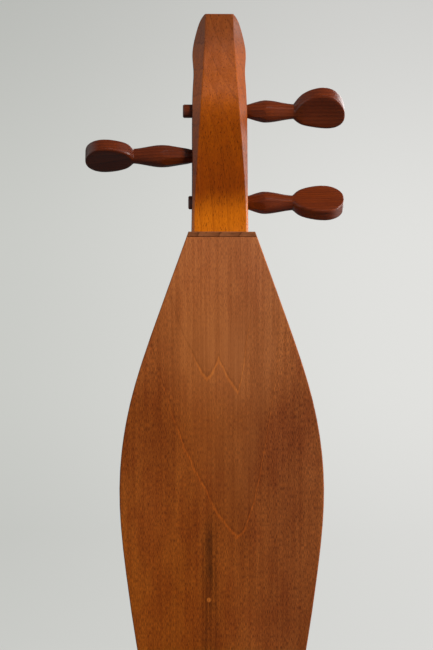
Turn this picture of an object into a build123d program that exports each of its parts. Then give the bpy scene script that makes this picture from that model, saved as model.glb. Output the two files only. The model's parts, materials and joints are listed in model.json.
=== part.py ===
"""Hourglass mountain dulcimer: a three-string fretted zither with a slotted, hooked peg head.

Units are millimetres. The instrument stands on its tail end: +Z runs along it to the head,
its flat back faces -Y and its fretboard faces +Y. The origin is the centre of the tail face.
"""
from build123d import *
from math import cos, radians, sin
import os

os.makedirs("parts", exist_ok=True)

# Body
BODY_LENGTH = 740.0
BODY_DEPTH = 52.0
PLATE = 2.6
OVERHANG = 1.2
PLATE_EDGE_ROUND = 0.8
RIB = 2.2
END_PLATE = 4.0
END_PLATE_INSET = 1.1
HEAD_HALF = 24.0
UPPER_BOUT_HALF = 73.4
UPPER_BOUT_Z = 556.0
WAIST_HALF = 51.5
WAIST_Z = 352.0
LOWER_BOUT_HALF = 88.0
LOWER_BOUT_Z = 190.0
TAIL_HALF = 28.0
EDGE_STEPS = 36

# Inside the body
BLOCK_LENGTH = 32.0
LINING = 5.0
BRACE_WIDTH = 8.0
BRACE_HEIGHT = 10.0
BACK_BRACE_Z = (115.0, 270.0, 430.0, 600.0)
TOP_BRACE_Z = (90.0, 372.0, 640.0)
SOUND_HOLE_LENGTH = 34.0
SOUND_HOLE_WIDTH = 12.0
SOUND_HOLE_PLACES = ((44.0, 150.0), (44.0, 560.0))

# Fretboard, nut, bridge and frets
BOARD_WIDTH = 40.0
BOARD_HEIGHT = 16.0
BOARD_ROUND = 1.0
CHANNEL_WIDTH = 20.0
CHANNEL_DEPTH = 8.0
STRUM_DEPTH = 6.5
STRUM_LOW = 60.0
STRUM_HIGH = 196.0
SCALE_LENGTH = 698.0
NUT_FACE_Z = 733.0
SADDLE_THICK = 4.5
SADDLE_LENGTH = 37.0
SADDLE_SLOT = 2.5
NUT_STRING_Y = 44.0
BRIDGE_STRING_Y = 47.0
FRET_SEMITONES = (2, 4, 5, 7, 9, 10, 11, 12, 14, 16, 17, 19, 21, 22, 23, 24)
FRET_WIDTH = 2.4
FRET_CROWN = 1.1
FRET_TANG = 0.6
FRET_TANG_DEPTH = 1.8
FRET_LENGTH = 38.6

# Strings: name, radius, x at the bridge and nut, x at the peg
STRINGS = (
    ("treble", 0.15, 10.0, 5.6),
    ("bass", 0.28, -10.0, -5.6),
    ("middle", 0.18, 0.0, 0.0),
)
PIN_Z = 14.0
PIN_RADIUS = 0.9
PIN_HEAD_RADIUS = 1.7
PIN_PROUD = 4.0
TAIL_SLOPE_DROP = 6.0
TAIL_SLOPE_LENGTH = 27.0
STRING_GAP = 0.3
CROWN_TURNS = (2.0, 4.0)
NOTCH_GAP = 0.05

# Peg head: z above the body, y of the back surface, width of the back, width between the walls
HEAD_SECTIONS = (
    (0.0, 11.0, 38.0, 41.6),
    (28.0, 11.0, 37.0, 40.8),
    (62.0, 12.6, 32.8, 40.7),
    (98.0, 18.6, 27.8, 40.3),
    (112.0, 22.3, 25.6, 39.2),
    (122.6, 25.4, 24.2, 38.4),
    (135.0, 28.6, 22.8, 40.0),
    (145.5, 31.0, 21.5, 37.2),
    (154.0, 32.6, 21.0, 32.8),
    (160.0, 33.5, 20.6, 28.4),
    (165.0, 34.2, 19.4, 21.2),
)
BEVEL_SLOPE = 1.0
SLOT_WIDTH = 22.0
SLOT_LOW_Z = 748.0
SLOT_HIGH_Z = 846.0
SLOT_FLOOR_LOW = 18.0
SLOT_FLOOR_HIGH = 23.2
SLOT_RAMP = 7.0
HEAD_EDGE_ROUND = 0.9
FRONT_Y = BODY_DEPTH / 2 + BOARD_HEIGHT

# Pegs: name, height above the body, side, where the bulb is thickest and where the peg ends,
# measured out from the wall of the head, how far the tip passes the far wall, then the thumb
# piece: its tilt in degrees, its width, its thickness and how much it swells to one side
PEGS = (
    ("treble", 24.0, 1, 12.9, 72.1, 2.7, -45.0, 29.4, 10.8, 0.0),
    ("bass", 58.5, -1, 22.4, 79.3, -0.5, 58.0, 29.2, 10.6, 0.2),
    ("middle", 92.0, 1, 13.9, 73.1, 7.0, 42.0, 30.6, 12.2, 3.4),
)
PEG_Y = 32.0
SHANK_RADIUS = 5.0
TIP_CHAMFER = 0.8
PEG_CLEARANCE = 0.05
BULB_START = 0.5
BULGE_RADIUS = 8.3
FACET_LOW = 4.75
FACET_HIGH = 8.4
NECK_RADIUS = 5.5
CONE_LENGTH = 21.0
THUMB_ROUND = 1.2
THUMB_FLARE = (1, 0.6)
THUMB_OUTLINE = ((0.07, 0.53), (0.2, 0.78), (0.38, 0.95), (0.6, 1.0), (0.82, 0.84), (0.95, 0.48))
WINDING_TURNS = 8
STRING_HOLE_RADIUS = 0.9

back_y = -BODY_DEPTH / 2
top_y = BODY_DEPTH / 2
board_top_y = top_y + BOARD_HEIGHT
bridge_z = NUT_FACE_Z - SCALE_LENGTH
box_low_z = END_PLATE
box_high_z = BODY_LENGTH - END_PLATE
inside_low_y = back_y + PLATE
inside_high_y = top_y - PLATE


def finish(piece, name):
    """Label a finished piece and write it."""
    piece.part.label = name
    export_step(piece.part, f"parts/{name}.step")


def plan_at(y):
    """Plan sketch plane at height y: its own y runs along the instrument, its normal is -Y."""
    return Plane.XZ.offset(-y)


body_edge = Spline(
    (TAIL_HALF, 0),
    (TAIL_HALF + 29.0, 70.0),
    (LOWER_BOUT_HALF - 9.5, 130.0),
    (LOWER_BOUT_HALF, LOWER_BOUT_Z),
    (LOWER_BOUT_HALF - 8.0, 245.0),
    (WAIST_HALF + 11.0, 300.0),
    (WAIST_HALF, WAIST_Z),
    (WAIST_HALF + 9.2, 441.0),
    (UPPER_BOUT_HALF - 4.6, 496.0),
    (UPPER_BOUT_HALF, UPPER_BOUT_Z),
    (UPPER_BOUT_HALF - 7.4, 616.0),
    (HEAD_HALF + 26.0, 668.0),
    (HEAD_HALF, BODY_LENGTH),
    tangents=((0.42, 1), (-0.36, 1)),
)


def inset_points(inset):
    """Points along the right-hand edge of the body, moved in square to it."""
    points = []
    for step in range(EDGE_STEPS + 1):
        place = body_edge @ (step / EDGE_STEPS)
        along = body_edge % (step / EDGE_STEPS)
        points.append((place.X - inset * along.Y, place.Y + inset * along.X))
    return points


def plan_slab(inset, low_z, high_z):
    """The hourglass drawn in by inset and cut to a stretch of its length."""
    points = inset_points(inset)
    with BuildSketch() as slab:
        with BuildLine():
            if inset:
                Spline(*points)
            else:
                add(body_edge)
            Polyline(points[-1], (0, points[-1][1]), (0, points[0][1]), points[0])
        make_face()
        mirror(about=Plane.YZ)
        with Locations((0, (low_z + high_z) / 2)):
            Rectangle(3 * LOWER_BOUT_HALF, high_z - low_z, mode=Mode.INTERSECT)
    return slab.sketch


def plan_strip(inset, thickness, low_z, high_z, side):
    """A strip of even thickness that follows one side of the hourglass."""
    outer = inset_points(inset)
    inner = inset_points(inset + thickness)
    with BuildSketch() as strip:
        with BuildLine():
            Spline(*outer)
            Spline(*inner)
            Line(outer[0], inner[0])
            Line(outer[-1], inner[-1])
        make_face()
        with Locations((LOWER_BOUT_HALF, (low_z + high_z) / 2)):
            Rectangle(3 * LOWER_BOUT_HALF, high_z - low_z, mode=Mode.INTERSECT)
    return strip.sketch if side > 0 else mirror(strip.sketch, about=Plane.YZ)


# Back plate and soundboard
with BuildPart() as back_plate:
    with BuildSketch(plan_at(back_y + PLATE)):
        add(plan_slab(0, box_low_z, box_high_z))
    extrude(amount=PLATE)
    fillet(back_plate.faces().sort_by(Axis.Y)[0].edges(), radius=PLATE_EDGE_ROUND)
finish(back_plate, "back_plate")

with BuildPart() as soundboard:
    with BuildSketch(plan_at(top_y)):
        add(plan_slab(0, box_low_z, box_high_z))
        for hole_x, hole_z in SOUND_HOLE_PLACES:
            for side in (-1, 1):
                with Locations(Location((side * hole_x, hole_z), side * 8.0)):
                    Ellipse(SOUND_HOLE_WIDTH / 2, SOUND_HOLE_LENGTH / 2, mode=Mode.SUBTRACT)
    extrude(amount=PLATE)
finish(soundboard, "soundboard")

# Ribs, bent to the outline, one on each side
for name, side in (("rib_left", -1), ("rib_right", 1)):
    with BuildPart() as rib:
        with BuildSketch(plan_at(inside_high_y)):
            add(plan_strip(OVERHANG, RIB, box_low_z, box_high_z, side))
        extrude(amount=inside_high_y - inside_low_y)
    finish(rib, name)

# End blocks, shaped to the ribs
for name, low_z in (("tail_block", box_low_z), ("head_block", box_high_z - BLOCK_LENGTH)):
    with BuildPart() as block:
        with BuildSketch(plan_at(inside_high_y)):
            add(plan_slab(OVERHANG + RIB, low_z, low_z + BLOCK_LENGTH))
        extrude(amount=inside_high_y - inside_low_y)
    finish(block, name)

# End plates capping the ends of the box
for name, low_z in (("tail_end_plate", 0.0), ("head_end_plate", box_high_z)):
    with BuildPart() as end_plate:
        with BuildSketch(plan_at(top_y)):
            add(plan_slab(0, low_z, low_z + END_PLATE))
        extrude(amount=BODY_DEPTH - END_PLATE_INSET)
        fillet(end_plate.faces().sort_by(Axis.Y)[0].edges(), radius=PLATE_EDGE_ROUND)
    finish(end_plate, name)

# Lining strips that widen the glued edges of the ribs
free_low_z = box_low_z + BLOCK_LENGTH
free_high_z = box_high_z - BLOCK_LENGTH
for level, low_y in (("back", inside_low_y), ("top", inside_high_y - LINING)):
    for name, side in (("left", -1), ("right", 1)):
        with BuildPart() as lining:
            with BuildSketch(plan_at(low_y + LINING)):
                add(plan_strip(OVERHANG + RIB, LINING, free_low_z, free_high_z, side))
            extrude(amount=LINING)
        finish(lining, f"lining_{level}_{name}")

# Cross braces, each fitted between the linings
brace_rows = [("back_brace", i + 1, z, inside_low_y) for i, z in enumerate(BACK_BRACE_Z)]
brace_rows += [("top_brace", i + 1, z, inside_high_y - BRACE_HEIGHT) for i, z in enumerate(TOP_BRACE_Z)]
for kind, number, middle_z, low_y in brace_rows:
    with BuildPart() as brace:
        with BuildSketch(plan_at(low_y + BRACE_HEIGHT)):
            inset = OVERHANG + RIB + LINING
            add(plan_slab(inset, middle_z - BRACE_WIDTH / 2, middle_z + BRACE_WIDTH / 2))
        extrude(amount=BRACE_HEIGHT)
    finish(brace, f"{kind}_{number}")


# Strings, each one run from its hitch pin over the bridge and nut to its peg
def tail_slope_y(z):
    """Height of the sloped tail end of the fretboard."""
    return board_top_y - TAIL_SLOPE_DROP * (box_low_z + TAIL_SLOPE_LENGTH - z) / TAIL_SLOPE_LENGTH


pin_string_y = tail_slope_y(PIN_Z) + 1.6
peg_places = {name: BODY_LENGTH + height for name, height, *rest in PEGS}


def string_route(radius, nut_x, peg_x, peg_z):
    """Corner points of a string: pin, bridge, nut, and the front of its peg."""
    peg_front_y = PEG_Y + SHANK_RADIUS + 2 * radius + STRING_GAP + radius
    return (
        (nut_x, pin_string_y, PIN_Z + PIN_RADIUS + radius),
        (nut_x, BRIDGE_STRING_Y, bridge_z),
        (nut_x, NUT_STRING_Y, NUT_FACE_Z + 1.0),
        (peg_x, peg_front_y, peg_z),
    )


def string_tube(route, radius):
    """A tube swept along the route, turning on the crowns of the bridge and the nut."""
    with BuildPart() as tube:
        with BuildLine():
            path = FilletPolyline(*route, radius=CROWN_TURNS)
        with BuildSketch(Plane(origin=path @ 0, z_dir=path % 0)):
            Circle(radius)
        sweep(path=path)
    return tube.part


strings = {}
for name, radius, nut_x, peg_x in STRINGS:
    route = string_route(radius, nut_x, peg_x, peg_places[name])
    with BuildPart() as string:
        add(string_tube(route, radius))
        with BuildSketch(Plane.XZ.offset(-pin_string_y)):
            with Locations((nut_x, PIN_Z)):
                Circle(PIN_RADIUS + 2 * radius + 0.02)
                Circle(PIN_RADIUS + 0.02, mode=Mode.SUBTRACT)
        extrude(amount=radius, both=True)
    strings[name] = string.part
    finish(string, f"string_{name}")

# Hitch pins in the tail slope, three alike
with BuildPart() as hitch_pins:
    for name, radius, nut_x, peg_x in STRINGS:
        with BuildSketch(Plane.XZ.offset(-(tail_slope_y(PIN_Z) - 6.0))):
            with Locations((nut_x, PIN_Z)):
                Circle(PIN_RADIUS)
        extrude(amount=-(6.0 + PIN_PROUD))
        with BuildSketch(Plane.XZ.offset(-(tail_slope_y(PIN_Z) + PIN_PROUD - 0.9))):
            with Locations((nut_x, PIN_Z)):
                Circle(PIN_HEAD_RADIUS)
        extrude(amount=-0.9)
    fillet(hitch_pins.faces().group_by(Axis.Y)[-1].edges(), radius=0.35)
finish(hitch_pins, "hitch_pins")

# Fretboard
fret_places = [NUT_FACE_Z - SCALE_LENGTH * (1 - 2 ** (-s / 12)) for s in FRET_SEMITONES]
with BuildPart() as fretboard:
    with BuildSketch(Plane.XY.offset(box_low_z)):
        with Locations((0, top_y + BOARD_HEIGHT / 2)):
            Rectangle(BOARD_WIDTH, BOARD_HEIGHT)
    extrude(amount=BODY_LENGTH - box_low_z)
    fillet(fretboard.faces().sort_by(Axis.Y)[-1].edges().filter_by(Axis.Z), radius=BOARD_ROUND)
    with BuildSketch(Plane.YZ.offset(-BOARD_WIDTH)):
        with BuildLine():
            Polyline(
                (board_top_y, box_low_z + TAIL_SLOPE_LENGTH),
                (tail_slope_y(box_low_z), box_low_z),
                (board_top_y + BOARD_HEIGHT, box_low_z),
                (board_top_y + BOARD_HEIGHT, box_low_z + TAIL_SLOPE_LENGTH),
                close=True,
            )
        make_face()
    extrude(amount=2 * BOARD_WIDTH, mode=Mode.SUBTRACT)
    with BuildSketch(Plane.YZ.offset(-BOARD_WIDTH)):
        strum_middle = (board_top_y, (STRUM_LOW + STRUM_HIGH) / 2)
        with Locations(strum_middle):
            RectangleRounded(2 * STRUM_DEPTH, STRUM_HIGH - STRUM_LOW, STRUM_DEPTH * 0.98)
    extrude(amount=2 * BOARD_WIDTH, mode=Mode.SUBTRACT)
    with BuildSketch(Plane.XY.offset(STRUM_HIGH + 20)):
        with Locations((0, top_y + CHANNEL_DEPTH / 2)):
            Rectangle(CHANNEL_WIDTH, CHANNEL_DEPTH)
    extrude(amount=NUT_FACE_Z - STRUM_HIGH - 40, mode=Mode.SUBTRACT)
    for place in fret_places:
        with Locations((0, board_top_y - FRET_TANG_DEPTH / 2, place)):
            Box(BOARD_WIDTH + 2, FRET_TANG_DEPTH, FRET_TANG, mode=Mode.SUBTRACT)
    for place in (NUT_FACE_Z + SADDLE_THICK / 2, bridge_z):
        with Locations((0, board_top_y - SADDLE_SLOT / 2, place)):
            Box(SADDLE_LENGTH, SADDLE_SLOT, SADDLE_THICK, mode=Mode.SUBTRACT)
    add(hitch_pins.part, mode=Mode.SUBTRACT)
finish(fretboard, "fretboard")

# Frets: a low crown on a tang driven into the board
for number, place in enumerate(fret_places, start=1):
    with BuildPart() as fret:
        with BuildSketch(Plane.YZ.offset(-FRET_LENGTH / 2)):
            with BuildLine():
                low = (board_top_y, place - FRET_WIDTH / 2)
                high = (board_top_y, place + FRET_WIDTH / 2)
                ThreePointArc(low, (board_top_y + FRET_CROWN, place), high)
                Line(high, low)
            make_face()
            with Locations((board_top_y - FRET_TANG_DEPTH / 2, place)):
                Rectangle(FRET_TANG_DEPTH, FRET_TANG)
        extrude(amount=FRET_LENGTH)
    finish(fret, f"fret_{number:02d}")

# Nut and bridge: saddles with a rounded crown and a notch for each string
saddles = (
    ("nut", NUT_FACE_Z + SADDLE_THICK / 2, NUT_STRING_Y),
    ("bridge", bridge_z, BRIDGE_STRING_Y),
)
for name, middle_z, crown_y in saddles:
    with BuildPart() as saddle:
        with BuildSketch(Plane.YZ.offset(-SADDLE_LENGTH / 2)):
            base_y = board_top_y - SADDLE_SLOT
            with BuildLine():
                low = (crown_y - 1.2, middle_z - SADDLE_THICK / 2 + 0.6)
                high = (crown_y - 1.2, middle_z + SADDLE_THICK / 2 - 0.6)
                ThreePointArc(low, (crown_y, middle_z), high)
                Polyline(
                    high,
                    (board_top_y, middle_z + SADDLE_THICK / 2),
                    (base_y, middle_z + SADDLE_THICK / 2),
                    (base_y, middle_z - SADDLE_THICK / 2),
                    (board_top_y, middle_z - SADDLE_THICK / 2),
                    low,
                )
            make_face()
        extrude(amount=SADDLE_LENGTH)
        for string_name, radius, nut_x, peg_x in STRINGS:
            route = string_route(radius, nut_x, peg_x, peg_places[string_name])
            add(string_tube(route, radius + NOTCH_GAP), mode=Mode.SUBTRACT)
    finish(saddle, name)


# Peg head: a tapered, hooked block with bevelled back edges, a string slot and three peg holes
def head_edge(side, kind):
    """One long edge of the head: its back edge, the ridge between bevel and wall, or its front edge."""
    points = []
    for height, back, back_width, wall_width in HEAD_SECTIONS:
        bevel_width = (wall_width - back_width) / 2
        half_width, depth = {
            "back": (back_width / 2, back),
            "ridge": (wall_width / 2, back + BEVEL_SLOPE * bevel_width),
            "front": (wall_width / 2, FRONT_Y),
        }[kind]
        points.append((side * half_width, depth, BODY_LENGTH + height))
    return Spline(*points)


front_edges = (head_edge(1, "front"), head_edge(-1, "front"))
left_edges = (head_edge(-1, "ridge"), head_edge(-1, "back"))
right_edges = (head_edge(1, "back"), head_edge(1, "ridge"))
ring = (*front_edges, *left_edges, *right_edges)
head_faces = [Face.make_surface_from_curves(a, b) for a, b in zip(ring, ring[1:] + ring[:1])]
for end in (0, 1):
    head_faces.append(Face(Wire([Line(a @ end, b @ end) for a, b in zip(ring, ring[1:] + ring[:1])])))

with BuildPart() as pegbox:
    add(Solid(Shell(head_faces)))
    outer_edges = pegbox.edges().filter_by(lambda edge: edge.center().Z > BODY_LENGTH + 1)
    fillet(outer_edges, radius=HEAD_EDGE_ROUND)
    with BuildSketch(Plane.YZ.offset(-SLOT_WIDTH / 2)):
        with BuildLine():
            Polyline(
                (SLOT_FLOOR_LOW, SLOT_LOW_Z),
                (SLOT_FLOOR_HIGH, SLOT_HIGH_Z),
                (FRONT_Y + SLOT_RAMP, SLOT_HIGH_Z),
                (FRONT_Y + SLOT_RAMP, SLOT_LOW_Z - 2 * SLOT_RAMP),
                (FRONT_Y - SLOT_RAMP, SLOT_LOW_Z),
                close=True,
            )
        make_face()
    extrude(amount=SLOT_WIDTH, mode=Mode.SUBTRACT)
    for name, height, *rest in PEGS:
        with BuildSketch(Plane.YZ.offset(-BOARD_WIDTH)):
            with Locations((PEG_Y, BODY_LENGTH + height)):
                Circle(SHANK_RADIUS + PEG_CLEARANCE)
        extrude(amount=2 * BOARD_WIDTH, mode=Mode.SUBTRACT)
finish(pegbox, "pegbox")


# Pegs: a plain shank, a faceted bulb, a cone and a flat thumb piece, made in one
def wall_at(height):
    """Distance from the middle to the wall of the head, between the two sections around a height."""
    for low, high in zip(HEAD_SECTIONS, HEAD_SECTIONS[1:]):
        if low[0] <= height <= high[0]:
            share = (height - low[0]) / (high[0] - low[0])
            return (low[3] + share * (high[3] - low[3])) / 2


def thumb_outline(neck, peg_end, width, swell):
    """Points round a thumb piece, from the neck past its blunt end and back, fuller on one side."""
    upper = []
    lower = []
    for along, out in THUMB_OUTLINE:
        place = neck + along * (peg_end - neck)
        lift = 4 * along * (1 - along) * swell
        upper.append((place, lift + out * width / 2))
        lower.append((place, lift - out * width / 2))
    return [(neck, NECK_RADIUS), *upper, (peg_end, 0), *reversed(lower), (neck, -NECK_RADIUS)]


for name, height, side, bulge_out, reach, tip, turn, thumb_width, thumb_thick, swell in PEGS:
    wall = wall_at(height)
    bulb_start = wall + BULB_START
    bulge = wall + bulge_out
    neck = bulge + CONE_LENGTH
    peg_end = wall + reach
    tip_end = -wall - tip
    axis_z = BODY_LENGTH + height
    face_normal = (0, -cos(radians(turn)), -sin(radians(turn)))
    thumb_plane = Plane(origin=(0, PEG_Y, axis_z), x_dir=(side, 0, 0), z_dir=face_normal)
    outline = thumb_outline(neck, peg_end, thumb_width, side * swell)
    with BuildPart() as peg:
        with BuildSketch(thumb_plane.offset(-thumb_thick / 2)):
            with BuildLine():
                Spline(*outline, tangents=(THUMB_FLARE, (-THUMB_FLARE[0], THUMB_FLARE[1])))
                Line(outline[0], outline[-1])
            make_face()
        extrude(amount=thumb_thick)
        fillet(peg.edges().filter_by(lambda edge: edge.length > thumb_width), radius=THUMB_ROUND)
        with BuildSketch(thumb_plane):
            with BuildLine():
                Polyline(
                    (tip_end, 0),
                    (tip_end, SHANK_RADIUS - TIP_CHAMFER),
                    (tip_end + TIP_CHAMFER, SHANK_RADIUS),
                    (bulb_start, SHANK_RADIUS),
                )
                bulb = Spline(
                    (bulb_start, SHANK_RADIUS),
                    (bulge, BULGE_RADIUS),
                    (neck, NECK_RADIUS),
                    tangents=((1, 0.3), (1, 0.0), (1, -0.06)),
                )
                Polyline(bulb @ 1, (neck + NECK_RADIUS, NECK_RADIUS), (neck + NECK_RADIUS, 0), (tip_end, 0))
            make_face()
        revolve(axis=Axis((0, PEG_Y, axis_z), (side, 0, 0)))
        with BuildPart(mode=Mode.PRIVATE) as facets:
            for distance, flat in ((bulb_start - 1, FACET_LOW), (bulge + 1, FACET_HIGH)):
                with BuildSketch(Plane(origin=(side * distance, PEG_Y, axis_z), z_dir=(side, 0, 0))):
                    Circle(2 * BULGE_RADIUS)
                    RegularPolygon(flat, 8, major_radius=False, mode=Mode.SUBTRACT)
            loft(ruled=True)
        add(facets.part, mode=Mode.SUBTRACT)
        string_x = next(row[3] for row in STRINGS if row[0] == name)
        with BuildSketch(Plane.XY.offset(axis_z - 2 * SHANK_RADIUS)):
            with Locations((string_x + side * WINDING_TURNS * 0.5, PEG_Y)):
                Circle(STRING_HOLE_RADIUS)
        extrude(amount=4 * SHANK_RADIUS, mode=Mode.SUBTRACT)
    finish(peg, f"peg_{name}")

# String windings on the peg shanks, one sleeve of close turns each
for name, radius, nut_x, peg_x in STRINGS:
    with BuildPart() as winding:
        with BuildSketch(Plane.YZ.offset(peg_x - WINDING_TURNS * radius)):
            with Locations((PEG_Y, peg_places[name])):
                Circle(SHANK_RADIUS + 2 * radius)
                Circle(SHANK_RADIUS, mode=Mode.SUBTRACT)
        extrude(amount=2 * WINDING_TURNS * radius)
    finish(winding, f"winding_{name}")
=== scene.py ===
"""Hourglass mountain dulcimer: finishes, carved pegs, string windings and a plain studio."""
import json
import math

import bmesh
import bpy
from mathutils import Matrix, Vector


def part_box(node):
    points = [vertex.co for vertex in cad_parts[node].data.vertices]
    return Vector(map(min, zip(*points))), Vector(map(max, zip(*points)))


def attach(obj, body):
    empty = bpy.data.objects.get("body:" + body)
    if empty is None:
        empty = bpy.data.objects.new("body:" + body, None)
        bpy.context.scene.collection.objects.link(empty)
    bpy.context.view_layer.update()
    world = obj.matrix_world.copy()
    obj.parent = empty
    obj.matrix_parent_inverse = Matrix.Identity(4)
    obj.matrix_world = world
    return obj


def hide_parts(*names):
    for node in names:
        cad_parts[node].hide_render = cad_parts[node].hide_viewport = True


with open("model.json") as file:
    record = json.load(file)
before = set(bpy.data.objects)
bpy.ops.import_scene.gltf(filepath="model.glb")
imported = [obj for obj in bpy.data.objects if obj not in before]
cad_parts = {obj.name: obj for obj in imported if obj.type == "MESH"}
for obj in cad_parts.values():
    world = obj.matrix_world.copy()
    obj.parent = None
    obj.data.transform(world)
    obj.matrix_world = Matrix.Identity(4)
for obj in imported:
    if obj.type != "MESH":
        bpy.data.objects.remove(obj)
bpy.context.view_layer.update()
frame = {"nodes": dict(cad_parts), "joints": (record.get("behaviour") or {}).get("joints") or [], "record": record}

nodes = frame["nodes"]


def linear(red, green, blue):
    """A display colour, 0 to 255, as linear light."""
    out = []
    for value in (red, green, blue):
        share = value / 255
        out.append(share / 12.92 if share <= 0.04045 else ((share + 0.055) / 1.055) ** 2.4)
    return (*out, 1.0)


WARM_SHADE = linear(178, 150, 128)
DEEP_SHADE = linear(118, 92, 76)
RED_SHADE = linear(206, 168, 176)
GREY_STAIN = linear(140, 148, 170)
PALE_FLECK = linear(255, 232, 190)
# Grey that the back's right side is mixed toward, a painted sheen from the light on the right
PAINTED_SHEEN_GREY = linear(110, 100, 95)
KNOT_TONE = linear(172, 98, 40)

# How fine each noise is across the grain, per metre
BROAD_PER_METRE = 26
STREAKS_PER_METRE = 420
FLECKS_PER_METRE = 2100
FINE_FLECKS_PER_METRE = 2500
CLOUDS_PER_METRE = 42
WANDER_PER_METRE = 60
SCRATCHES_PER_METRE = 5200
# Pitch of the wire wrapped round the wound string
WRAP_PITCH = 0.0003


class Tree:
    """A material's or a world's node tree, with one short call for each kind of node."""

    def __init__(self, owner):
        owner.use_nodes = True
        self.material = owner
        self.nodes = owner.node_tree.nodes
        self.links = owner.node_tree.links
        self.shader = self.nodes.get("Principled BSDF") or self.nodes["Background"]

    def put(self, socket, value):
        """Link an output, or set a plain value."""
        if isinstance(value, bpy.types.NodeSocket):
            self.links.new(value, socket)
        else:
            socket.default_value = value

    def place(self):
        """Position in the frame, in metres."""
        return self.nodes.new("ShaderNodeTexCoord").outputs["Object"]

    def split(self, vector):
        node = self.nodes.new("ShaderNodeSeparateXYZ")
        self.put(node.inputs[0], vector)
        return node.outputs

    def maths(self, operation, first, second=0.0, third=0.0):
        node = self.nodes.new("ShaderNodeMath")
        node.operation = operation
        for socket, value in zip(node.inputs, (first, second, third)):
            self.put(socket, value)
        return node.outputs[0]

    def scaled(self, vector, scale, shift=(0, 0, 0)):
        node = self.nodes.new("ShaderNodeMapping")
        self.put(node.inputs["Vector"], vector)
        node.inputs["Location"].default_value = shift
        node.inputs["Scale"].default_value = scale
        return node.outputs[0]

    def noise(self, vector, scale=1.0, detail=2.0, rough=0.5):
        node = self.nodes.new("ShaderNodeTexNoise")
        self.put(node.inputs["Vector"], vector)
        node.inputs["Scale"].default_value = scale
        node.inputs["Detail"].default_value = detail
        node.inputs["Roughness"].default_value = rough
        return node.outputs["Fac"]

    def ramp(self, value, low, high, to_low=0.0, to_high=1.0):
        """Map low..high smoothly to to_low..to_high."""
        node = self.nodes.new("ShaderNodeMapRange")
        node.interpolation_type = "SMOOTHSTEP"
        self.put(node.inputs["Value"], value)
        for socket, number in zip(("From Min", "From Max", "To Min", "To Max"), (low, high, to_low, to_high)):
            self.put(node.inputs[socket], number)
        return node.outputs["Result"]

    def mix(self, share, first, second, blend="MIX"):
        node = self.nodes.new("ShaderNodeMix")
        node.data_type = "RGBA"
        node.blend_type = blend
        self.put(node.inputs["Factor"], share)
        self.put(node.inputs["A"], first)
        self.put(node.inputs["B"], second)
        return node.outputs["Result"]

    def darken(self, colour, share, shade):
        """Multiply a colour by a shade, by a share of it."""
        return self.mix(share, colour, shade, "MULTIPLY")

    def tones(self, value, stops):
        """Colour that changes with a length in metres, smoothly from stop to stop."""
        low = stops[0][0]
        high = stops[-1][0]
        node = self.nodes.new("ShaderNodeValToRGB")
        node.color_ramp.interpolation = "EASE"
        elements = node.color_ramp.elements
        while len(elements) < len(stops):
            elements.new(0.5)
        for element, (place, colour) in zip(elements, stops):
            element.position = (place - low) / (high - low)
        for element, (place, colour) in zip(elements, stops):
            element.color = linear(*colour)
        self.put(node.inputs[0], self.maths("DIVIDE", self.maths("SUBTRACT", value, low), high - low))
        return node.outputs["Color"]

    def bump(self, height, distance, strength=1.0):
        node = self.nodes.new("ShaderNodeBump")
        node.inputs["Distance"].default_value = distance
        node.inputs["Strength"].default_value = strength
        self.put(node.inputs["Height"], height)
        self.put(self.shader.inputs["Normal"], node.outputs[0])


def stretched(along, share):
    """Scale factors that draw a texture out along one axis."""
    return [share if axis == along else 1 for axis in "XYZ"]


def growth_lines(tree, at, along, rings):
    """Nested growth rings cut by the surface: how far across a ring a point is, 0 to 1."""
    x, y, z = tree.split(at)
    warp = tree.noise(tree.scaled(at, stretched(along, 0.45)), rings["wander_scale"], 2, 0.5)
    warped = tree.maths("MULTIPLY_ADD", warp, 2 * rings["wander"], -rings["wander"])
    run = {"X": x, "Y": y, "Z": z}[along]
    side = {"X": z, "Y": x, "Z": x}[along]
    third = {"X": y, "Y": z, "Z": y}[along]
    off = tree.maths("SUBTRACT", side, tree.maths("MULTIPLY_ADD", run, rings["lean"], rings["centre"]))
    depth = tree.maths("MULTIPLY_ADD", run, rings["slope"], rings["depth"])
    depth = tree.maths("SUBTRACT", depth, third)
    square = tree.maths("ADD", tree.maths("MULTIPLY", off, off), tree.maths("MULTIPLY", depth, depth))
    radius = tree.maths("ADD", tree.maths("SQRT", square), warped)
    return tree.maths("FRACT", tree.maths("DIVIDE", radius, rings["pitch"]))


class Grain:
    """The noise patterns that every wood here is made of, drawn out along one axis."""

    def __init__(self, tree, along, fleck_scale=FLECKS_PER_METRE):
        self.at = tree.place()
        self.run = dict(zip("XYZ", tree.split(self.at)))[along]
        self.broad = tree.noise(tree.scaled(self.at, stretched(along, 0.3)), BROAD_PER_METRE, 4, 0.55)
        self.streaks = tree.noise(tree.scaled(self.at, stretched(along, 0.02)), STREAKS_PER_METRE, 4, 0.65)
        short = tree.scaled(self.at, stretched(along, 0.14))
        self.pores = tree.ramp(tree.noise(short, fleck_scale * 1.1, 2, 0.55), 0.57, 0.68)
        elsewhere = tree.scaled(short, (1, 1, 1), (0.37, 0.11, 0.23))
        self.flecks = tree.ramp(tree.noise(elsewhere, fleck_scale, 1, 0.5), 0.36, 0.68)


def lacquer(tree, colour, grain, rough, gloss):
    """Join a wood's colour to its surface: roughness by streak, fine relief, and a set gloss."""
    tree.put(tree.shader.inputs["Base Color"], colour)
    tree.put(tree.shader.inputs["Roughness"], tree.ramp(grain.streaks, 0.3, 0.7, rough * 0.85, rough * 1.15))
    tree.shader.inputs["Specular IOR Level"].default_value = gloss
    relief = tree.maths("SUBTRACT", tree.maths("MULTIPLY", grain.streaks, 0.4), grain.pores)
    tree.bump(relief, 0.00005, 0.35)
    return tree.material


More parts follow.
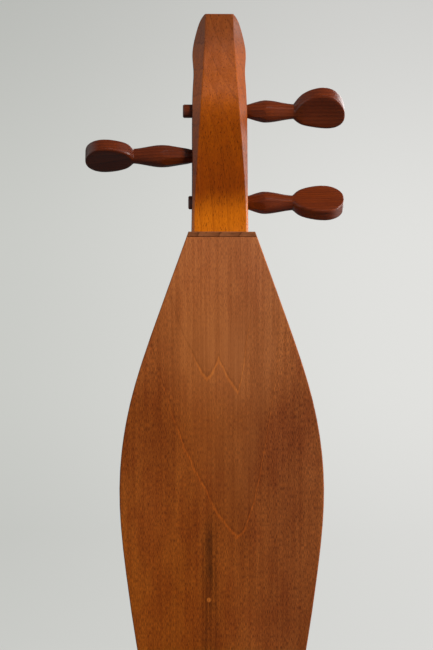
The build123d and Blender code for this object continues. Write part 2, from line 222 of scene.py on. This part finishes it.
def wood(name, tones, along, rings, streak, mottle, pores, flecks, rough, gloss=0.2):
    """Finished wood: stain along the grain (for the head, stain with painted light and shade in it), mottling,
    streaks, growth lines, light flecks and dark pores.
    """
    tree = Tree(bpy.data.materials.new(name))
    grain = Grain(tree, along)
    drifting = tree.maths("MULTIPLY_ADD", grain.broad, 0.03, grain.run)
    colour = tree.tones(drifting, tones) if len(tones) > 1 else linear(*tones[0][1])
    colour = tree.darken(colour, tree.ramp(grain.broad, 0.7, 0.3, 0.0, mottle), WARM_SHADE)
    colour = tree.darken(colour, tree.ramp(grain.streaks, 0.3, 0.7, 0.0, streak), WARM_SHADE)
    if rings:
        phase = growth_lines(tree, grain.at, along, rings)
        line = tree.maths("MULTIPLY", tree.ramp(phase, 0.86, 0.985), tree.ramp(phase, 1.0, 0.985))
        band = tree.maths("MULTIPLY", tree.ramp(phase, 0.0, 0.9), rings["band"])
        colour = tree.darken(colour, band, WARM_SHADE)
        colour = tree.darken(colour, tree.maths("MULTIPLY", line, rings["line"]), DEEP_SHADE)
    colour = tree.mix(tree.maths("MULTIPLY", grain.flecks, flecks), colour, PALE_FLECK, "SOFT_LIGHT")
    colour = tree.darken(colour, tree.maths("MULTIPLY", grain.pores, pores), DEEP_SHADE)
    return lacquer(tree, colour, grain, rough, gloss)


def tongue(tree, x, z, tip, left, right):
    """How far a point is up inside a pointed growth figure. Each side rises by a slope and a curve."""
    rise = tree.maths("SUBTRACT", z, tip[1])
    sides = ((tree.maths("SUBTRACT", tip[0], x), left), (tree.maths("SUBTRACT", x, tip[0]), right))
    for away, (slope, curve) in sides:
        out = tree.maths("MAXIMUM", away, 0.0)
        bend = tree.maths("MULTIPLY", tree.maths("MULTIPLY", out, out), curve)
        rise = tree.maths("SUBTRACT", rise, tree.maths("MULTIPLY_ADD", out, slope, bend))
    return rise


def mineral_streak(tree, x, z, wander, grain, cloud):
    """How strongly the ragged grey streak shows at a point."""
    middle = tree.maths("MULTIPLY_ADD", wander, 0.003, STREAK_X - 0.0015)
    side = tree.maths("ABSOLUTE", tree.maths("ADD", x, middle))
    upper_end = tree.ramp(z, STREAK_TOP, STREAK_TOP - 0.035)
    stain = tree.maths("MULTIPLY", tree.ramp(side, STREAK_HALF, STREAK_CORE), upper_end)
    lower_end = tree.ramp(z, STREAK_TOP - STREAK_LENGTH, STREAK_TOP - STREAK_LENGTH + 0.06)
    stain = tree.maths("MULTIPLY", stain, lower_end)
    stain = tree.maths("MULTIPLY", stain, tree.ramp(grain.streaks, 0.35, 0.6, 0.35, 1.0))
    return tree.maths("MULTIPLY", stain, tree.ramp(cloud, 0.3, 0.6, 1.0, 0.5))


def pin_knot(tree, x, z):
    """How strongly the small round knot shows at a point."""
    across = tree.maths("POWER", tree.maths("ADD", x, STREAK_X), 2.0)
    along = tree.maths("POWER", tree.maths("SUBTRACT", z, KNOT_Z), 2.0)
    return tree.ramp(tree.maths("ADD", across, along), KNOT_RADIUS ** 2, (KNOT_RADIUS / 2) ** 2, 0.0, 0.7)


def back_wood(name):
    """The flat-sawn back: a long V and a small W of pale growth lines, smooth inside and flecked outside."""
    tree = Tree(bpy.data.materials.new(name))
    grain = Grain(tree, "Z", FINE_FLECKS_PER_METRE)
    x, y, z = tree.split(grain.at)
    wander = tree.noise(tree.scaled(grain.at, stretched("Z", 0.5)), WANDER_PER_METRE, 3, 0.6)
    high = tree.maths("MULTIPLY_ADD", wander, 0.014, tree.maths("SUBTRACT", z, 0.007))
    long_v = tongue(tree, x, high, *LONG_V)
    small_w = tree.maths("MAXIMUM", tongue(tree, x, high, *W_LEFT), tongue(tree, x, high, *W_RIGHT))
    inner = tree.maths("MULTIPLY", tree.ramp(tree.maths("ABSOLUTE", x), 0.046, 0.02), tree.ramp(z, 0.7, 0.65))
    inner = tree.maths("MULTIPLY", tree.ramp(small_w, -0.03, 0.03, 0.0, 0.45), inner)
    calm = tree.maths("ADD", tree.ramp(long_v, -0.02, 0.045, 0.0, 0.4), inner)
    lively = tree.maths("SUBTRACT", 1.0, calm)

    drifting = tree.maths("MULTIPLY_ADD", grain.broad, 0.05, tree.maths("SUBTRACT", z, 0.025))
    # Painted light: the back grows lighter and greyer towards the top, a painted sheen over the wood's own colour
    colour = tree.tones(drifting, BACK_TONES_WITH_PAINTED_SHEEN)
    # Painted sheen: the back's right side is mixed toward a grey, as if it caught the light from the right
    colour = tree.mix(tree.ramp(x, -0.03, 0.06, 0.0, 0.12), colour, PAINTED_SHEEN_GREY)
    mottle = tree.maths("MULTIPLY", tree.ramp(grain.broad, 0.66, 0.34), 0.45)
    colour = tree.darken(colour, mottle, WARM_SHADE)
    shifted = tree.scaled(grain.at, stretched("Z", 0.45), (0.3, 0.2, 0.5))
    cloud = tree.noise(shifted, CLOUDS_PER_METRE, 3, 0.6)
    shade = tree.maths("MULTIPLY", tree.ramp(cloud, 0.42, 0.66, 0.0, 0.38), lively)
    colour = tree.darken(colour, shade, RED_SHADE)
    colour = tree.darken(colour, tree.ramp(grain.streaks, 0.35, 0.65, 0.0, 0.35), WARM_SHADE)
    for figure, reach in ((long_v, 0.05), (small_w, 0.026)):
        near = tree.ramp(tree.maths("ABSOLUTE", x), reach, reach * 0.55, 0.0, 0.55)
        pale = tree.maths("MULTIPLY", tree.ramp(figure, -0.0034, 0.0), tree.ramp(figure, 0.002, 0.0))
        pale = tree.maths("MULTIPLY", pale, near)
        colour = tree.mix(pale, colour, PALE_FLECK, "SOFT_LIGHT")
        past_edge = tree.ramp(figure, 0.0, 0.0022)
        dark = tree.maths("MULTIPLY", past_edge, tree.ramp(figure, 0.0052, 0.0022, 0.0, 0.2))
        colour = tree.darken(colour, dark, DEEP_SHADE)

    colour = tree.darken(colour, mineral_streak(tree, x, z, wander, grain, cloud), GREY_STAIN)
    colour = tree.mix(pin_knot(tree, x, z), colour, KNOT_TONE)

    light = tree.maths("MULTIPLY", grain.flecks, tree.maths("MULTIPLY", lively, 0.62))
    colour = tree.mix(light, colour, PALE_FLECK, "SOFT_LIGHT")
    between_flecks = tree.ramp(grain.flecks, 0.45, 0.0, 0.0, 0.5)
    gap = tree.maths("MULTIPLY", between_flecks, tree.maths("MULTIPLY", lively, 0.9))
    colour = tree.darken(colour, gap, WARM_SHADE)
    pores = tree.maths("MULTIPLY", grain.pores, tree.maths("MULTIPLY", lively, 0.35))
    colour = tree.darken(colour, pores, DEEP_SHADE)
    return lacquer(tree, colour, grain, 0.42, 0.16)


def metal(name, colour, rough, brush_axis):
    """Drawn or filed metal with fine scratches along one axis."""
    tree = Tree(bpy.data.materials.new(name))
    scratch = tree.noise(tree.scaled(tree.place(), stretched(brush_axis, 0.03)), SCRATCHES_PER_METRE, 2, 0.6)
    dull = tree.noise(tree.place(), 160, 3, 0.6)
    duller = linear(*[value * 0.72 for value in colour])
    tone = tree.mix(tree.ramp(dull, 0.35, 0.7, 0.0, 0.35), linear(*colour), duller)
    tree.put(tree.shader.inputs["Base Color"], tone)
    tree.shader.inputs["Metallic"].default_value = 1.0
    tree.put(tree.shader.inputs["Roughness"], tree.ramp(scratch, 0.3, 0.7, rough * 0.7, rough * 1.4))
    tree.bump(scratch, 0.00001, 0.3)
    return tree.material


def wound_metal(name, colour):
    """Bronze-wrapped string: close turns across the string's length."""
    tree = Tree(bpy.data.materials.new(name))
    height = tree.split(tree.place())["Z"]
    turns = tree.maths("SINE", tree.maths("MULTIPLY", height, 2 * math.pi / WRAP_PITCH))
    # Painted shade: the string is darker in the grooves between its turns
    painted_groove_shade = linear(*[value * 0.55 for value in colour])
    tone = tree.mix(tree.ramp(turns, -1, 1, 0, 0.6), painted_groove_shade, linear(*colour))
    tree.put(tree.shader.inputs["Base Color"], tone)
    tree.shader.inputs["Metallic"].default_value = 1.0
    tree.shader.inputs["Roughness"].default_value = 0.35
    tree.bump(turns, 0.00004, 0.8)
    return tree.material


def bone(name):
    """Polished bone: warm white with faint streaks along X."""
    tree = Tree(bpy.data.materials.new(name))
    grain = tree.noise(tree.scaled(tree.place(), stretched("X", 0.08)), 1500, 4, 0.65)
    cloud = tree.noise(tree.place(), 140, 3, 0.5)
    tone = tree.mix(tree.ramp(cloud, 0.35, 0.7, 0.0, 0.7), linear(236, 226, 200), linear(222, 205, 170))
    tone = tree.mix(tree.ramp(grain, 0.58, 0.72, 0.0, 0.5), tone, linear(190, 168, 130))
    tree.put(tree.shader.inputs["Base Color"], tone)
    tree.put(tree.shader.inputs["Roughness"], tree.ramp(grain, 0.3, 0.7, 0.25, 0.4))
    tree.shader.inputs["Subsurface Weight"].default_value = 0.08
    tree.shader.inputs["Subsurface Radius"].default_value = (0.002, 0.0015, 0.001)
    tree.bump(grain, 0.00002, 0.4)
    return tree.material


def rings(pitch, centre, lean, depth, slope, wander, wander_scale, line, band):
    """Where the heart of the tree lay beside a board, and how its growth lines wander and show."""
    return dict(
        pitch=pitch, centre=centre, lean=lean, depth=depth, slope=slope,
        wander=wander, wander_scale=wander_scale, line=line, band=band,
    )


TOP_RINGS = rings(0.0021, 0.0, 0.0, 0.4, 0.0, 0.001, 8, 0.35, 0.3)
WALNUT_RINGS = rings(0.0016, 0.74, 0.05, 0.02, 0.1, 0.001, 60, 0.5, 0.4)
BOARD_RINGS = rings(0.0034, 0.0, 0.004, 0.06, 0.01, 0.002, 20, 0.35, 0.3)
HEAD_RINGS = rings(0.006, 0.125, -0.11, 0.05, 0.03, 0.0015, 30, 0.2, 0.1)
PEG_RINGS = rings(0.0024, 0.76, 0.02, 0.02, 0.05, 0.001, 60, 0.4, 0.4)
# Colour of the back along its height: the wood's own tone with painted light in it, lighter and greyer towards the
# top as a painted sheen, darker towards the bottom
BACK_TONES_WITH_PAINTED_SHEEN = (
    (0.0, (128, 64, 10)), (0.35, (132, 68, 13)), (0.47, (138, 73, 20)),
    (0.6, (138, 76, 30)), (0.66, (157, 93, 48)), (0.74, (158, 94, 54)),
)
# Growth figure of the back: the tip's x and z, then slope and curve of its left and right sides
LONG_V = ((0.011, 0.5196), (1.0, 20.0), (0.9, 120.0))
W_LEFT = ((-0.0107, 0.6343), (1.3, 30.0), (1.6, 40.0))
W_RIGHT = ((0.0115, 0.6257), (1.5, 20.0), (4.0, 200.0))
# Grey mineral streak and pin knot: how far left of the middle, how high, how wide and how long
STREAK_X = 0.0093
STREAK_TOP = 0.545
STREAK_LENGTH = 0.19
STREAK_HALF = 0.0085
STREAK_CORE = 0.0015
KNOT_Z = 0.476
KNOT_RADIUS = 0.002
# Colour of the head along its height, with painted light in it: besides a real change of stain, the bright bottom
# and the crest where the head curls over are made lighter, and the middle darker, as they look under the lamp
# above
HEAD_STAIN_AND_PAINTED_LIGHT = (
    (0.74, (216, 126, 40)), (0.765, (192, 104, 12)), (0.79, (124, 55, 2)), (0.83, (130, 61, 2)),
    (0.86, (150, 74, 6)), (0.885, (142, 70, 8)), (0.905, (122, 64, 28)),
)
finishes = {
    "back_wood": back_wood("back_wood"),
    "top_wood": wood(
        "top_wood", ((0, (196, 134, 76)),), "Z", TOP_RINGS,
        streak=0.25, mottle=0.3, pores=0.15, flecks=0.15, rough=0.42,
    ),
    "rib_wood": wood(
        "rib_wood", ((0, (150, 80, 28)),), "Z", None,
        streak=0.3, mottle=0.5, pores=0.35, flecks=0.5, rough=0.4,
    ),
    "inner_wood": wood(
        "inner_wood", ((0, (206, 172, 124)),), "Z", None,
        streak=0.2, mottle=0.3, pores=0.15, flecks=0.0, rough=0.7, gloss=0.1,
    ),
    "walnut": wood(
        "walnut", ((0, (142, 92, 60)),), "X", WALNUT_RINGS,
        streak=0.4, mottle=0.4, pores=0.5, flecks=0.3, rough=0.45, gloss=0.15,
    ),
    "fretboard_wood": wood(
        "fretboard_wood", ((0, (86, 46, 28)),), "Z", BOARD_RINGS,
        streak=0.4, mottle=0.4, pores=0.5, flecks=0.2, rough=0.42, gloss=0.25,
    ),
    # The head's tones hold painted light and shade along with its stain
    "head_wood": wood(
        "head_wood", HEAD_STAIN_AND_PAINTED_LIGHT, "Z", HEAD_RINGS,
        streak=0.3, mottle=0.35, pores=0.8, flecks=0.35, rough=0.2, gloss=0.3,
    ),
    "peg_wood": wood(
        "peg_wood", ((0, (106, 45, 16)),), "X", PEG_RINGS,
        streak=0.35, mottle=0.5, pores=0.4, flecks=0.2, rough=0.3, gloss=0.5,
    ),
    "fret_metal": metal("fret_metal", (196, 192, 180), 0.25, "X"),
    "plain_string": metal("plain_string", (200, 200, 202), 0.2, "Z"),
    "wound_string": wound_metal("wound_string", (204, 158, 104)),
    "brass_pin": metal("brass_pin", (214, 174, 96), 0.25, "Y"),
    "bone": bone("bone"),
}
slots = {row["node"]: row.get("material_slot", row["node"]) for row in frame["record"]["subparts"]}


def finish_node(name):
    """Give a carried CAD node its finish."""
    thing = nodes[name]
    thing.data.materials.clear()
    thing.data.materials.append(finishes[slots[name]])


for node_name in nodes:
    finish_node(node_name)


# Pegs, carved by hand: a round shank, a bulb cut with flats, a cone and a broad thumb piece
PEG_RADIUS = 0.005
TIP_CHAMFER = 0.0008
BULGE_RADIUS = 0.0083
FACETS = 8
FLAT_LOW = 0.00475
FLAT_HIGH = 0.0084
NECK_RADIUS = 0.0055
CONE_LENGTH = 0.021
WIDEST_SHARE = 0.6
THUMB_EDGE = 0.0012
THUMB_DISH = 0.0006
SPREAD_POWER = 0.75
END_POWER = 2.2
FLARE_SHARE = 0.22
SQUARENESS = 7
BULB_SLOPE = 0.3
NECK_SLOPE = -0.06
FLATS_FADE = 0.001
RING_POINTS = 96
OUTLINE_POINTS = 8 * RING_POINTS
# Sections along the shank, the bulb, its thickest place, the cone and the thumb piece
SHANK_STEPS = 8
BULB_STEPS = 36
BULGE_STEPS = 10
CONE_STEPS = 18
THUMB_STEPS = 70
BULGE_LENGTH = 0.0015
SAME_PLACE = 1e-06
SHARP_ANGLE = 50
# Side, where the bulb starts and is thickest, thumb piece's tilt, width, thickness and swell to one side
PEG_SHAPES = {
    "treble": (1, 0.02096, 0.03336, -45.0, 0.0294, 0.0108, 0.0),
    "bass": (-1, 0.02086, 0.04276, 58.0, 0.0292, 0.0106, 0.0002),
    "middle": (1, 0.02068, 0.03408, 42.0, 0.0306, 0.0122, 0.0034),
}
tuner_axes = {joint["child"]: Vector(joint["pos_m"]) for joint in frame["joints"]}


def ease(value):
    """0 to 1 with no corner at either end."""
    value = min(max(value, 0.0), 1.0)
    return value * value * (3 - 2 * value)


def hermite(share, length, start, end, start_slope, end_slope):
    """A curve's value a share of the way along, from its values and slopes at both ends."""
    square = share * share
    cube = square * share
    value = start * (2 * cube - 3 * square + 1) + end * (3 * square - 2 * cube)
    return value + length * (start_slope * (cube - 2 * square + share) + end_slope * (cube - square))


def round_ring(out, tip_end, bulb_start, bulge):
    """Section of the turned part: a circle, cut by flats on the bulb."""
    if out < bulb_start:
        radius = PEG_RADIUS - max(0.0, tip_end + TIP_CHAMFER - out)
    elif out < bulge:
        length = bulge - bulb_start
        radius = hermite((out - bulb_start) / length, length, PEG_RADIUS, BULGE_RADIUS, BULB_SLOPE, 0.0)
    else:
        share = (out - bulge) / CONE_LENGTH
        radius = hermite(share, CONE_LENGTH, BULGE_RADIUS, NECK_RADIUS, 0.0, NECK_SLOPE)
    ring = []
    for step in range(RING_POINTS):
        turn = 2 * math.pi * step / RING_POINTS
        reach = radius
        if bulb_start < out < bulge + FLATS_FADE:
            share = (out - bulb_start + FLATS_FADE) / (bulge - bulb_start + 2 * FLATS_FADE)
            flat = FLAT_LOW + share * (FLAT_HIGH - FLAT_LOW)
            sector = 2 * math.pi / FACETS
            reach = min(radius, flat / math.cos(turn % sector - sector / 2))
        ring.append((reach * math.cos(turn), reach * math.sin(turn)))
    return ring


def even_ring(points):
    """The same closed outline with its points spaced evenly along it."""
    lengths = [math.dist(a, b) for a, b in zip(points, points[1:] + points[:1])]
    spacing = sum(lengths) / RING_POINTS
    ring = []
    walked = 0.0
    for start, end, length in zip(points, points[1:] + points[:1], lengths):
        while len(ring) * spacing < walked + length and len(ring) < RING_POINTS:
            share = (len(ring) * spacing - walked) / max(length, 1e-9)
            ring.append((start[0] + share * (end[0] - start[0]), start[1] + share * (end[1] - start[1])))
        walked += length
    return ring + [points[0]] * (RING_POINTS - len(ring))


def thumb_ring(share, length, width, thick, swell):
    """Section of the thumb piece: a soft-cornered bar, dished on both faces."""
    if share < WIDEST_SHARE:
        spread = math.sin(math.pi / 2 * share / WIDEST_SHARE) ** SPREAD_POWER
        half_width = NECK_RADIUS + (width / 2 - NECK_RADIUS) * spread
    else:
        past = (share - WIDEST_SHARE) / (1 - WIDEST_SHARE)
        half_width = width / 2 * math.sqrt(max(0.0, 1 - past ** END_POWER))
    flared = ease(share / FLARE_SHARE)
    half_thick = NECK_RADIUS + flared * (thick / 2 - NECK_RADIUS)
    rounding = max(0.0, THUMB_EDGE - (1 - share) * length)
    half_thick -= THUMB_EDGE - math.sqrt(max(0.0, THUMB_EDGE ** 2 - rounding ** 2))
    power = 2 / (2 + SQUARENESS * flared)
    lift = 4 * share * (1 - share) * swell
    dish = THUMB_DISH * math.sin(math.pi * share) ** 2
    points = []
    for step in range(OUTLINE_POINTS):
        turn = 2 * math.pi * step / OUTLINE_POINTS
        across = math.copysign(abs(math.cos(turn)) ** power, math.cos(turn))
        through = math.copysign(abs(math.sin(turn)) ** power, math.sin(turn))
        hollow = dish * (1 - across * across) ** 2
        points.append((half_width * across + lift, through * (half_thick - hollow)))
    return even_ring(points)


def spaced(start, end, steps):
    """Places at even steps after the start, up to the end."""
    return [start + (end - start) * step / steps for step in range(1, steps + 1)]


def peg_stations(tip_end, bulb_start, bulge, neck, peg_end):
    """Where sections are cut along a peg, close together where its outline turns."""
    chamfer = tip_end + TIP_CHAMFER
    stations = [tip_end, chamfer]
    cone = bulge + BULGE_LENGTH
    stations += spaced(chamfer, bulb_start, SHANK_STEPS)
    stations += spaced(bulb_start, bulge, BULB_STEPS)
    stations += spaced(bulge, cone, BULGE_STEPS)
    stations += spaced(cone, neck, CONE_STEPS)[:-1]
    for step in range(THUMB_STEPS + 1):
        stations.append(neck + (peg_end - neck) * math.sin(math.pi / 2 * step / THUMB_STEPS))
    return stations


def skin(rows, ring_points):
    """Faces between equal rings of points, closed at both ends."""
    faces = []
    for row in range(rows - 1):
        base = row * ring_points
        for step in range(ring_points):
            after = (step + 1) % ring_points
            faces.append((base + step, base + after, base + ring_points + after, base + ring_points + step))
    last = (rows - 1) * ring_points
    faces.append(tuple(reversed(range(ring_points))))
    faces.append(tuple(range(last, last + ring_points)))
    return faces


def carved_peg(name):
    """One peg, skinned over its sections and closed at both ends."""
    side, bulb_start, bulge, tilt, width, thick, swell = PEG_SHAPES[name]
    low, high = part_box(f"peg_{name}")
    tip_end, peg_end = (low.x, high.x) if side > 0 else (-high.x, -low.x)
    neck = bulge + CONE_LENGTH
    middle = tuner_axes[f"{name}_tuner"]
    on_axis = Vector((0, middle.y, middle.z))
    face = Vector((0, -math.cos(math.radians(tilt)), -math.sin(math.radians(tilt))))
    outward = Vector((side, 0, 0))
    edge = face.cross(outward)
    points = []
    stations = peg_stations(tip_end, bulb_start, bulge, neck, peg_end)
    for out in stations:
        if out < neck:
            ring = round_ring(out, tip_end, bulb_start, bulge)
        else:
            share = (out - neck) / (peg_end - neck)
            ring = thumb_ring(share, peg_end - neck, width, thick, side * swell)
        for across, through in ring:
            points.append(outward * out + on_axis + edge * across + face * through)
    faces = skin(len(stations), RING_POINTS)
    add_piece(f"carved_peg_{name}", points, faces, f"{name}_tuner", f"peg_{name}")


def add_piece(name, points, faces, body, replaced):
    """A smooth mesh with its finish, riding on a body in place of a CAD node."""
    mesh = bpy.data.meshes.new(name)
    mesh.from_pydata(points, [], faces)
    mesh.validate()
    shape = bmesh.new()
    shape.from_mesh(mesh)
    bmesh.ops.remove_doubles(shape, verts=shape.verts, dist=SAME_PLACE)
    bmesh.ops.recalc_face_normals(shape, faces=shape.faces)
    shape.to_mesh(mesh)
    shape.free()
    mesh.shade_smooth()
    mesh.set_sharp_from_angle(angle=math.radians(SHARP_ANGLE))
    piece = bpy.data.objects.new(name, mesh)
    bpy.context.scene.collection.objects.link(piece)
    mesh.materials.append(finishes[slots[replaced]])
    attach(piece, body)
    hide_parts(replaced)


# String windings: close turns round each shank
TURNS = 8
TURN_STEPS = 40
WIRE_SIDES = 8
WIRE_GAP = 0.98


def tube(route, radius):
    """Points and faces of a round wire along a route, closed at both ends."""
    points = []
    across = Vector((1, 0, 0))
    for number, place in enumerate(route):
        ahead = route[min(number + 1, len(route) - 1)] - route[max(number - 1, 0)]
        ahead.normalize()
        across = (across - ahead * across.dot(ahead)).normalized()
        beside = ahead.cross(across)
        for step in range(WIRE_SIDES):
            turn = 2 * math.pi * step / WIRE_SIDES
            points.append(place + across * (radius * math.cos(turn)) + beside * (radius * math.sin(turn)))
    return points, skin(len(route), WIRE_SIDES)


def wound_string(name):
    """Close turns of one string on its peg, from its straight run inwards to the hole."""
    low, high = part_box(f"winding_{name}")
    middle = tuner_axes[f"{name}_tuner"]
    wire = (high.x - low.x) / TURNS / 2
    coil = PEG_RADIUS + wire
    side = PEG_SHAPES[name][0]
    start_x, run = (low.x + wire, 1) if side > 0 else (high.x - wire, -1)
    route = []
    for step in range((TURNS - 1) * TURN_STEPS + 1):
        turn = 2 * math.pi * step / TURN_STEPS
        place_x = start_x + run * 2 * wire * step / TURN_STEPS
        route.append(Vector((place_x, middle.y + coil * math.cos(turn), middle.z + coil * math.sin(turn))))
    points, faces = tube(route, wire * WIRE_GAP)
    add_piece(f"string_turns_{name}", points, faces, f"{name}_tuner", f"winding_{name}")


for peg_name in PEG_SHAPES:
    carved_peg(peg_name)
    wound_string(peg_name)

# Studio: a wide pale bowl, floor and wall in one, seen from inside on every side
FLOOR_RADIUS = 5.2
WALL_CURVE = 1.6
WALL_HEIGHT = 3.6
RING_STEPS = 96
CURVE_STEPS = 16
# Glow colours of the bowl's left and right: painted light, brighter on the right where the lamps are
LEFT_GREY = (196, 198, 193)
RIGHT_GREY = (226, 226, 223)
GLOW_HEIGHT = 0.7
GLOW_STRENGTH = 0.93


def studio_bowl():
    """The bowl glows by itself, so that it is even under the lamps; the glow holds painted light, brighter on the
    right and darker above and below the glow height. It lights nothing and isn't mirrored in anything.
    """
    profile = [(0.0, 0.0), (FLOOR_RADIUS, 0.0)]
    for step in range(1, CURVE_STEPS + 1):
        turn = math.pi / 2 * step / CURVE_STEPS
        profile.append((FLOOR_RADIUS + WALL_CURVE * math.sin(turn), WALL_CURVE * (1 - math.cos(turn))))
    profile.append((FLOOR_RADIUS + WALL_CURVE, WALL_HEIGHT))
    points = [(0.0, 0.0, 0.0)]
    faces = []
    for radius, height in profile[1:]:
        for step in range(RING_STEPS):
            turn = 2 * math.pi * step / RING_STEPS
            points.append((radius * math.cos(turn), radius * math.sin(turn), height))
    for step in range(RING_STEPS):
        faces.append((0, 1 + step, 1 + (step + 1) % RING_STEPS))
    for row in range(len(profile) - 2):
        low = 1 + row * RING_STEPS
        for step in range(RING_STEPS):
            after = (step + 1) % RING_STEPS
            faces.append((low + step, low + RING_STEPS + step, low + RING_STEPS + after, low + after))
    mesh = bpy.data.meshes.new("studio_floor")
    mesh.from_pydata(points, [], faces)
    mesh.shade_smooth()
    bowl = bpy.data.objects.new("studio_floor", mesh)
    bpy.context.scene.collection.objects.link(bowl)
    tree = Tree(bpy.data.materials.new("studio_glow_with_painted_light"))
    x, y, z = tree.split(tree.place())
    # Painted light on the bowl's glow: brighter to the right and darker above and below the glow height
    tone = tree.mix(tree.ramp(x, -1.1, 1.1), linear(*LEFT_GREY), linear(*RIGHT_GREY))
    off_middle = tree.maths("ABSOLUTE", tree.maths("SUBTRACT", z, GLOW_HEIGHT))
    tone = tree.darken(tone, tree.ramp(off_middle, 0.2, 1.6), linear(230, 230, 230))
    tree.shader.inputs["Base Color"].default_value = linear(120, 120, 120)
    tree.shader.inputs["Roughness"].default_value = 1.0
    tree.shader.inputs["Specular IOR Level"].default_value = 0.0
    tree.put(tree.shader.inputs["Emission Color"], tone)
    tree.shader.inputs["Emission Strength"].default_value = GLOW_STRENGTH
    mesh.materials.append(tree.material)
    bowl.visible_diffuse = False
    bowl.visible_glossy = False


studio_bowl()


def soft_light(name, place, aim, width, height, power, colour=(1, 1, 1), mirrored=True):
    """A large rectangular lamp. One that isn't mirrored lights surfaces without showing in their gloss."""
    lamp = bpy.data.lights.new(name, "AREA")
    lamp.shape = "RECTANGLE"
    lamp.size = width
    lamp.size_y = height
    lamp.energy = power
    lamp.color = colour
    holder = bpy.data.objects.new(name, lamp)
    holder.location = place
    holder.rotation_mode = "QUATERNION"
    holder.rotation_quaternion = (Vector(aim) - Vector(place)).to_track_quat("-Z", "Y")
    holder.visible_glossy = mirrored
    bpy.context.scene.collection.objects.link(holder)


WARM_WHITE = (1.0, 0.97, 0.93)
soft_light("key_above_right", (0.75, -1.05, 1.62), (0.0, 0.0, 0.72), 0.4, 0.3, 27, WARM_WHITE, False)
soft_light("gloss_strip", (0.25, -1.02, 1.68), (0.0, 0.0, 0.86), 0.6, 0.1, 0.5)
soft_light("side_right", (1.9, -0.35, 0.95), (0.0, 0.0, 0.7), 1.0, 1.3, 26)
soft_light("front_fill", (0.9, 1.9, 1.3), (0.0, 0.0, 0.5), 1.2, 1.2, 12)


AIR_LEFT = 0.62
AIR_RIGHT = 1.0
AIR_ALL_ROUND = 0.1
AIR_COLOUR = (1.0, 0.99, 0.97, 1.0)


def studio_air():
    """Air light: dark in front of and behind the instrument, dim on the left and bright on the right."""
    world = bpy.data.worlds.new("studio_air")
    tree = Tree(world)
    direction = tree.nodes.new("ShaderNodeTexCoord").outputs["Generated"]
    x = tree.split(direction)["X"]
    left = tree.ramp(x, -0.45, -0.95, 0.0, AIR_LEFT)
    right = tree.ramp(x, 0.45, 0.95, 0.0, AIR_RIGHT)
    strength = tree.maths("ADD", tree.maths("ADD", left, right), AIR_ALL_ROUND)
    tree.put(tree.shader.inputs["Strength"], strength)
    tree.shader.inputs["Color"].default_value = AIR_COLOUR
    bpy.context.scene.world = world


studio_air()

# Camera, level with the upper body, a little to the left of the centre line
CAMERA_BACK = 1.5
CAMERA_HEIGHT = 0.673
CAMERA_X = -0.049
AIM_X = -0.0039
FOCAL_LENGTH = 116
back_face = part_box("back_plate")[0].y
camera_place = Vector((CAMERA_X, back_face - CAMERA_BACK, CAMERA_HEIGHT))
camera_aim = Vector((AIM_X, back_face, CAMERA_HEIGHT))
lens = bpy.data.cameras.new("camera")
lens.sensor_fit = "AUTO"
lens.sensor_width = 36
lens.lens = FOCAL_LENGTH
lens.clip_start = 0.05
lens.clip_end = 60
camera = bpy.data.objects.new("camera", lens)
camera.location = camera_place
camera.rotation_mode = "QUATERNION"
camera.rotation_quaternion = (camera_aim - camera_place).to_track_quat("-Z", "Y")
bpy.context.scene.collection.objects.link(camera)
bpy.context.scene.camera = camera
bpy.context.scene.view_settings.view_transform = "Standard"
